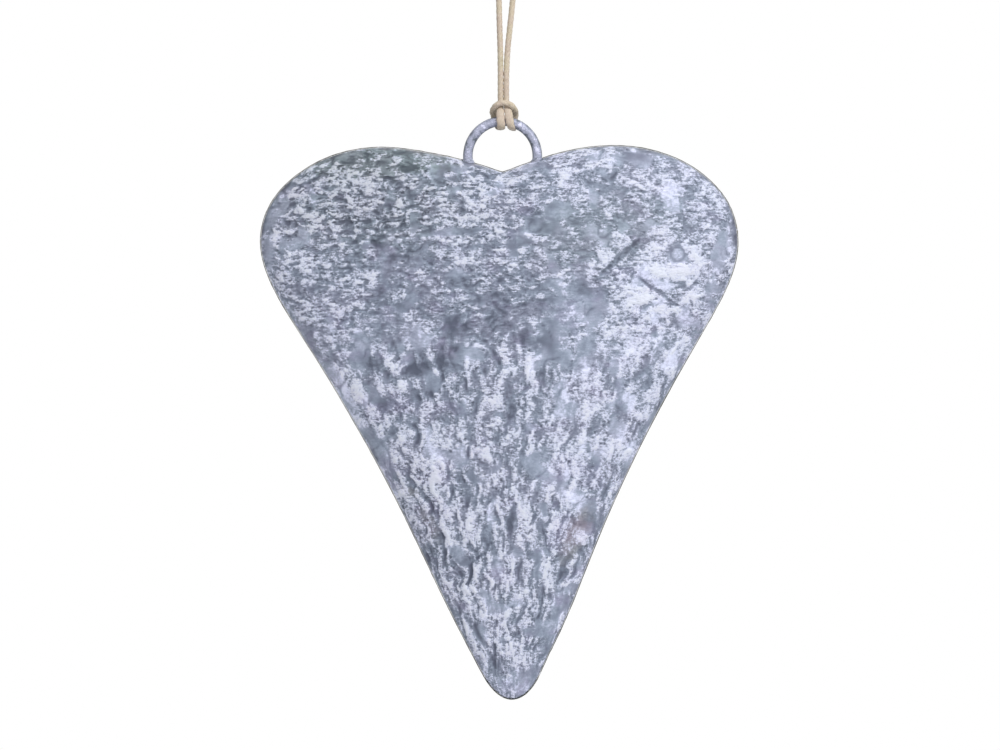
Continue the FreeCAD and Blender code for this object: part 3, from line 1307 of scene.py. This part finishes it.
@dataclass
class WeldFillet:
    """The small run of weld metal that wets the wire and the heart's edge. Lengths are in mm."""

    name: str
    node: str
    across_sign: float
    wire_radius: float = 1.25
    ring_radius: float = RING_RADIUS
    ring_centre_z: float = RING_CENTRE_Z
    foot_drop: float = 1.35
    climb: float = 1.3
    flare: float = 0.9
    into_wire: float = 0.97
    into_sheet: float = 0.05
    sides: int = 32
    rings: int = 9
    lump_height: float = 0.10
    lump_length: float = 1.4
    paint_cover: float = 0.55
    seed: int = 91

    def build(self, form: HeartForm, finish: Material) -> Piece:
        """Flares a sleeve from the wire onto the sheet.

        Args:
            form: the heart's face, which the sleeve's foot lies on.
            finish: the material.

        Returns:
            The fillet, riding on the heart.
        """
        sleeve = bmesh.new()
        drop = math.asin(self.foot_drop / self.ring_radius)
        across = self.across_sign * self.ring_radius * math.cos(drop)
        foot = Vector((across, 0, self.ring_centre_z - self.foot_drop))
        base = Matrix.Translation(foot * MM) @ Matrix.Rotation(self.across_sign * drop, 4, "Y")
        bmesh.ops.create_circle(sleeve, segments=self.sides, radius=self.wire_radius * MM, matrix=base)
        edges, loops = list(sleeve.edges), [list(sleeve.verts)]
        for _ in range(self.rings):
            grown = bmesh.ops.extrude_edge_only(sleeve, edges=edges)["geom"]
            edges = [part for part in grown if isinstance(part, bmesh.types.BMEdge)]
            loops.append([part for part in grown if isinstance(part, bmesh.types.BMVert)])
        for number, loop in enumerate(loops):
            self._settle(loop, number / self.rings, base, form)
        sleeve = laid_in_order(sleeve)
        bmesh.ops.recalc_face_normals(sleeve, faces=sleeve.faces)
        sleeve.normal_update()
        lumps = Crumple(self.seed).layered(places_of(sleeve) / self.lump_length)
        raise_points(sleeve, lumps * self.lump_height)
        keep_share(sleeve, "cover", np.full(len(sleeve.verts), self.paint_cover))
        return dressed(finished(self.name, sleeve), finish, Slot.SOLDER, Body.HEART, self.node)

    def _settle(self, loop: list[bmesh.types.BMVert], share: float, base: Matrix, form: HeartForm) -> None:
        """Moves one loop of the sleeve to its place between the wire and the sheet.

        Args:
            loop: the loop's points, still on the wire.
            share: how far down the sleeve it is, from 0 to 1.
            base: the place and lean of the wire's foot.
            form: the heart's face.
        """
        turn = share * math.pi / 2
        out = self.into_wire + self.flare / self.wire_radius * (1 - math.cos(turn))
        rise = base.to_3x3() @ Vector((0, 0, 1)) * (self.climb * (1 - math.sin(turn))) * MM
        for vert in loop:
            vert.co = base.translation + (vert.co - base.translation) * out + rise
            nearest, outward, _, _ = form.surface.find_nearest(vert.co)
            vert.co = vert.co.lerp(nearest - outward * self.into_sheet * MM, share**2)


@dataclass
class CordLay:
    """How the cord is laid: plies twisted round its centre line. Lengths are in mm."""

    diameter: float = 1.5
    plies: int = 3
    ply_radius: float = 0.65
    ply_offset: float = 0.16
    pitch: float = 5.2
    ply_sides: int = 3
    steps_between: int = 18

    def centre_line(self, name: str, route: tuple[Point, ...]) -> list[Vector]:
        """Reads the smooth line that the route's control points pull.

        Args:
            name: a name for the line while it is read.
            route: the control points, in mm.

        Returns:
            Points along the line, in metres.
        """
        data = bpy.data.curves.new(name, "CURVE")
        data.dimensions = "3D"
        data.resolution_u = self.steps_between
        spline = data.splines.new("NURBS")
        spline.points.add(len(route) - 1)
        for point, place in zip(spline.points, route):
            point.co = (*(MM * coordinate for coordinate in place), 1.0)
        spline.order_u = 3
        spline.use_endpoint_u = True
        read = mesh_of(data)
        points = [vert.co.copy() for vert in read.vertices]
        bpy.data.meshes.remove(read)
        return points

    def strand(self, name: str, line: list[Vector]) -> bpy.types.Mesh:
        """Twists the plies round a centre line.

        Args:
            name: a name for the plies.
            line: the centre line's points, in metres.

        Returns:
            The cord's mesh.
        """
        data = bpy.data.curves.new(name + "_plies", "CURVE")
        data.dimensions = "3D"
        data.bevel_depth = self.ply_radius * MM
        data.bevel_resolution = self.ply_sides
        data.use_fill_caps = True
        ends = [line[0], *line, line[-1]]
        tangents = [(after - before).normalized() for before, after in zip(ends, ends[2:])]
        side = tangents[0].orthogonal().normalized()
        travelled, sides = 0.0, []
        for number, tangent in enumerate(tangents):
            side = (side - tangent * side.dot(tangent)).normalized()
            travelled += (line[number] - line[number - 1]).length if number else 0.0
            sides.append((side.copy(), tangent.cross(side), 2 * math.pi * travelled / (self.pitch * MM)))
        for ply in range(self.plies):
            phase = 2 * math.pi * ply / self.plies
            spline = data.splines.new("POLY")
            spline.points.add(len(line) - 1)
            for point, centre, (first, second, turn) in zip(spline.points, line, sides):
                out = first * math.cos(turn + phase) + second * math.sin(turn + phase)
                point.co = (*(centre + out * self.ply_offset * MM), 1.0)
        mesh = mesh_of(data)
        mesh.shade_smooth()
        return mesh


@dataclass
class CordKnot:
    """The overhand knot that ties the cord's two ends above the nail. Lengths are in mm."""

    lay: CordLay
    centre_z: float = 3.6
    strand_gap: float = 0.74
    route: tuple[Point, ...] = (
        (0.0, 0.25, -2.9), (0.0, 0.55, -1.9), (-0.9, 0.85, -0.6), (-1.75, 0.75, 0.7), (-1.0, 0.2, 1.75),
        (0.7, -0.75, 1.5), (1.85, -1.05, 0.4), (1.6, -1.1, -0.9), (0.2, -1.25, -1.45), (-1.5, -0.75, -1.2),
        (-2.2, 0.15, -0.2), (-1.2, -0.15, 0.5), (0.2, 0.35, 0.7), (0.9, 0.5, 1.6), (0.55, 0.2, 3.0),
    )
    tails: tuple[tuple[Point, ...], tuple[Point, ...]] = (
        ((-0.1, 0.2, 4.2), (-0.7, 0.1, 6.2), (-1.5, 0.2, 8.6), (-1.8, 0.1, 10.6)),
        ((1.0, 0.2, 4.3), (1.5, 0.0, 6.4), (2.0, -0.2, 8.4), (2.7, -0.1, 10.2)),
    )

    def build(self, finish: Material) -> Piece:
        """Ties both ends side by side and lets their tails stand apart.

        Args:
            finish: the cord's material.

        Returns:
            The knot, riding on the cord body.
        """
        knot = bmesh.new()
        for sign, tail in zip((-1, 1), self.tails):
            shifted = tuple((x + sign * self.strand_gap, y, z) for x, y, z in self.route)
            route = tuple((x, y, z + self.centre_z) for x, y, z in (*shifted, *tail))
            strand = self.lay.strand("knot", self.lay.centre_line("knot_line", route))
            knot.from_mesh(strand)
            bpy.data.meshes.remove(strand)
        return dressed(finished("cord_end_knot", knot), finish, Slot.COTTON, Body.CORD, "cord_knot")


@dataclass
class WirePress:
    """How the cord's round section flattens where it lies on the ring's wire. Lengths are in mm."""

    ring_radius: float = RING_RADIUS
    ring_centre_z: float = RING_CENTRE_Z
    near: float = 2.6
    far: float = 4.6
    thinner: float = 0.52
    wider: float = 1.42
    clearance: float = 1.37

    def settle(self, cord: bpy.types.Mesh, line: list[Vector]) -> None:
        """Presses the cord thinner against the wire and wider along it.

        Args:
            cord: the cord's mesh.
            line: the points of its centre line, in metres.
        """
        tree = tree_of(line)
        for vert in cord.vertices:
            middle = tree.find(vert.co)[0]
            wire, along = self._wire_at(middle)
            outward = middle - wire
            share = 1.0 - float(soft_step(self.near, self.far, np.array(outward.length / MM)))
            if not share:
                continue
            outward.normalize()
            offset = vert.co - middle
            offset += outward * offset.dot(outward) * share * (self.thinner - 1.0)
            offset += along * offset.dot(along) * share * (self.wider - 1.0)
            vert.co = self._outside_wire(middle + offset)

    def _wire_at(self, place: Vector) -> tuple[Vector, Vector]:
        """Finds the part of the wire that is nearest to a place.

        Args:
            place: the place, in metres.

        Returns:
            The nearest point of the wire's centre line, and the wire's direction there.
        """
        centre = Vector((0, 0, self.ring_centre_z * MM))
        spoke = Vector((place.x, 0, place.z - centre.z)).normalized()
        return centre + spoke * self.ring_radius * MM, Vector((spoke.z, 0, -spoke.x))

    def _outside_wire(self, place: Vector) -> Vector:
        """Moves a point that would lie in the wire out to its surface."""
        wire = self._wire_at(place)[0]
        return wire + (place - wire) * max(1.0, self.clearance * MM / (place - wire).length)


@dataclass
class CordLoop:
    """One length of waxed cord, from the knot through the hitch on the ring and back. Lengths are in mm."""

    lay: CordLay
    length: float = 150.0
    left_leg: tuple[Point, ...] = (
        (-0.80, 0.0, 3.6), (-1.35, 0.0, 1.5), (-2.80, 0.0, -0.2), (-3.30, 0.0, -3.2), (-2.70, 0.0, -7.0),
        (-1.70, 0.0, -13.0), (-1.02, 0.0, -21.0), (-0.84, 0.0, -29.0), (-0.60, 0.0, -36.0),
        (-0.55, 0.0, -42.5), (-0.55, 0.0, -48.0),
    )
    hitch: tuple[Point, ...] = (
        (-0.55, -0.30, -50.55), (-0.62, -1.45, -52.60), (-0.58, -2.05, -54.40), (-0.40, -2.05, -55.90),
        (-0.35, -1.15, -57.00), (-0.55, 0.55, -57.25), (-1.05, 1.85, -56.50), (-1.60, 2.25, -55.00),
        (-2.10, 2.00, -53.60), (-2.50, 1.10, -52.50), (-2.45, -0.40, -51.75), (-1.75, -1.75, -50.90),
        (-0.50, -2.20, -50.30), (1.00, -2.20, -50.30), (2.30, -1.80, -50.85), (3.15, -0.50, -51.70),
        (3.30, 1.00, -52.60), (3.10, 2.00, -53.90), (2.90, 2.25, -55.40), (2.75, 1.85, -56.70),
        (2.45, 0.50, -57.35), (2.34, -1.20, -57.10), (2.08, -2.05, -56.05), (1.76, -2.05, -54.50),
        (1.52, -1.45, -52.60), (1.02, -0.30, -50.55),
    )
    right_leg: tuple[Point, ...] = (
        (0.99, 0.0, -48.0), (0.99, 0.0, -42.5), (1.30, 0.0, -36.0), (2.08, 0.0, -29.0), (2.90, 0.0, -21.0),
        (3.30, 0.0, -13.0), (3.42, 0.0, -7.0), (3.35, 0.0, -3.2), (2.80, 0.0, -0.2), (1.35, 0.0, 1.5),
        (0.80, 0.0, 3.6),
    )
    bend_above: float = -46.5
    bend_below: float = -49.4

    def build(self, finish: Material, knot: Piece) -> Piece:
        """Lays the cord along its route.

        Args:
            finish: the cord's material.
            knot: the knot at the cord's end, which is not used.

        Returns:
            The cord.
        """
        line = self.lay.centre_line("cord_line", (*self.left_leg, *self.hitch, *self.right_leg))
        cord = placed("cord_loop", self.lay.strand("cord_loop", line))
        WirePress().settle(cord.data, line)
        cord.data.materials.append(finish)
        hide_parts("cord_leg_left", "cord_leg_right", "cord_hitch")
        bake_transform(cord)
        run = sum((after - before).length for before, after in zip(line, line[1:]))
        log.info("cord_loop: %.1f mm along its line", run / MM)
        return cord


@dataclass(frozen=True)
class Lamp:
    """A soft square lamp that faces the heart: its place and size in metres and its power in watts."""

    name: str
    place: Point
    size: float
    power: float


@dataclass
class Studio:
    """A plain pale floor, soft lamps and the camera at the photograph's angle. Lengths are in metres."""

    camera_distance: float = 1.5
    view_width: float = 0.268
    view_centre_x: float = -0.0007
    view_centre_z: float = -0.12315
    sensor: float = 36.0
    clip_start: float = 0.05
    clip_end: float = 20.0
    floor_z: float = -0.30
    floor_side: float = 1.1
    floor_fades_from: float = 0.15
    floor_colour: Colour = screen_colour(238, 238, 240)
    floor_roughness: float = 0.9
    floor_specular: float = 0.1
    surrounding_light: float = 0.45
    lamps: tuple[Lamp, ...] = (
        Lamp("key", (0.52, -0.80, 0.62), 0.30, 11.2),
        Lamp("fill", (-0.9, -0.7, -0.05), 0.9, 1.6),
        Lamp("back", (0.3, 1.0, 0.3), 0.8, 5.5),
    )

    def build(self) -> None:
        """Makes the camera, floor, lamps and world."""
        self._camera()
        self._floor()
        for lamp in self.lamps:
            self._hang(lamp)
        self._world()
        bpy.context.scene.view_settings.view_transform = "Standard"

    def _camera(self) -> None:
        """Places the level camera in front."""
        data = bpy.data.cameras.new("camera")
        data.sensor_fit = "HORIZONTAL"
        data.sensor_width = self.sensor
        data.lens = self.sensor * self.camera_distance / self.view_width
        data.clip_start = self.clip_start
        data.clip_end = self.clip_end
        camera = placed("camera", data)
        camera.location = (self.view_centre_x, -self.camera_distance, self.view_centre_z)
        camera.rotation_euler = (math.pi / 2, 0.0, 0.0)
        bpy.context.scene.camera = camera

    def _floor(self) -> None:
        """Lays a pale floor under the view's lower edge, which fades into the backdrop all round."""
        shape = bmesh.new()
        bmesh.ops.create_grid(shape, x_segments=1, y_segments=1, size=self.floor_side / 2,
                              matrix=Matrix.Translation((0, 0, self.floor_z)))
        floor = finished("floor", shape)
        recipe = Recipe("floor_white")
        away = recipe.length(recipe.stretched(recipe.place, 1, 1, 0))
        fading = recipe.step(away, self.floor_fades_from, self.floor_side / 2, 1.0, 0.0)
        recipe.feed(recipe.surface, {"Alpha": fading})
        white = recipe.finish(self.floor_colour, self.floor_roughness, 0.0, self.floor_specular)
        floor.data.materials.append(white)

    def _hang(self, lamp: Lamp) -> None:
        """Hangs one lamp.

        Args:
            lamp: its numbers.
        """
        data = bpy.data.lights.new(lamp.name, "AREA")
        data.size = lamp.size
        data.energy = lamp.power
        hung = placed(lamp.name, data)
        hung.location = lamp.place
        away = Vector(lamp.place) - Vector((0, 0, self.view_centre_z))
        hung.rotation_euler = away.to_track_quat("Z", "Y").to_euler()

    def _world(self) -> None:
        """Shows white to the camera and to reflections, and lights the rest more softly."""
        world = bpy.data.worlds.new("studio")
        world.use_nodes = True
        bpy.context.scene.world = world
        tree = world.node_tree
        path = tree.nodes.new("ShaderNodeLightPath")
        seen = path.outputs["Is Camera Ray"]
        for name in ("Is Glossy Ray", "Is Transmission Ray"):
            either = tree.nodes.new("ShaderNodeMath")
            either.operation = "MAXIMUM"
            tree.links.new(seen, either.inputs[0])
            tree.links.new(path.outputs[name], either.inputs[1])
            seen = either.outputs[0]
        strength = tree.nodes.new("ShaderNodeMapRange")
        strength.inputs["To Min"].default_value = self.surrounding_light
        strength.inputs["To Max"].default_value = 1.0
        tree.links.new(seen, strength.inputs["Value"])
        background = tree.nodes["Background"]
        background.inputs["Color"].default_value = (1, 1, 1, 1)
        tree.links.new(strength.outputs[0], background.inputs["Strength"])


def main() -> None:
    """Builds the camera, cord, heart and ring in order."""
    logging.basicConfig(level=logging.INFO, format="%(message)s")
    Studio().build()
    lay = CordLay()
    cotton = WaxedCotton().made()
    knot = CordKnot(lay).build(cotton)
    CordLoop(lay).build(cotton, knot)
    form = HeartForm()
    sheet = RubbedSheet().made()
    front = Hammering(seed=7, marks=FRONT_MARKS, dent=RingDent())
    HammeredShell(Side.FRONT, front, "front_shell", "front_sheet").build(form, sheet)
    HammeredShell(Side.BACK, Hammering(seed=19), "back_shell", "back_sheet").build(form, sheet)
    wire = PaintedWire().made()
    SeamBead().build(SolderLine().made())
    HangingRing().build(wire)
    WeldFillet("weld_fillet_left", "ring_weld_left", -1.0).build(form, wire)
    WeldFillet("weld_fillet_right", "ring_weld_right", 1.0).build(form, wire)


if __name__ == "__main__":
    main()
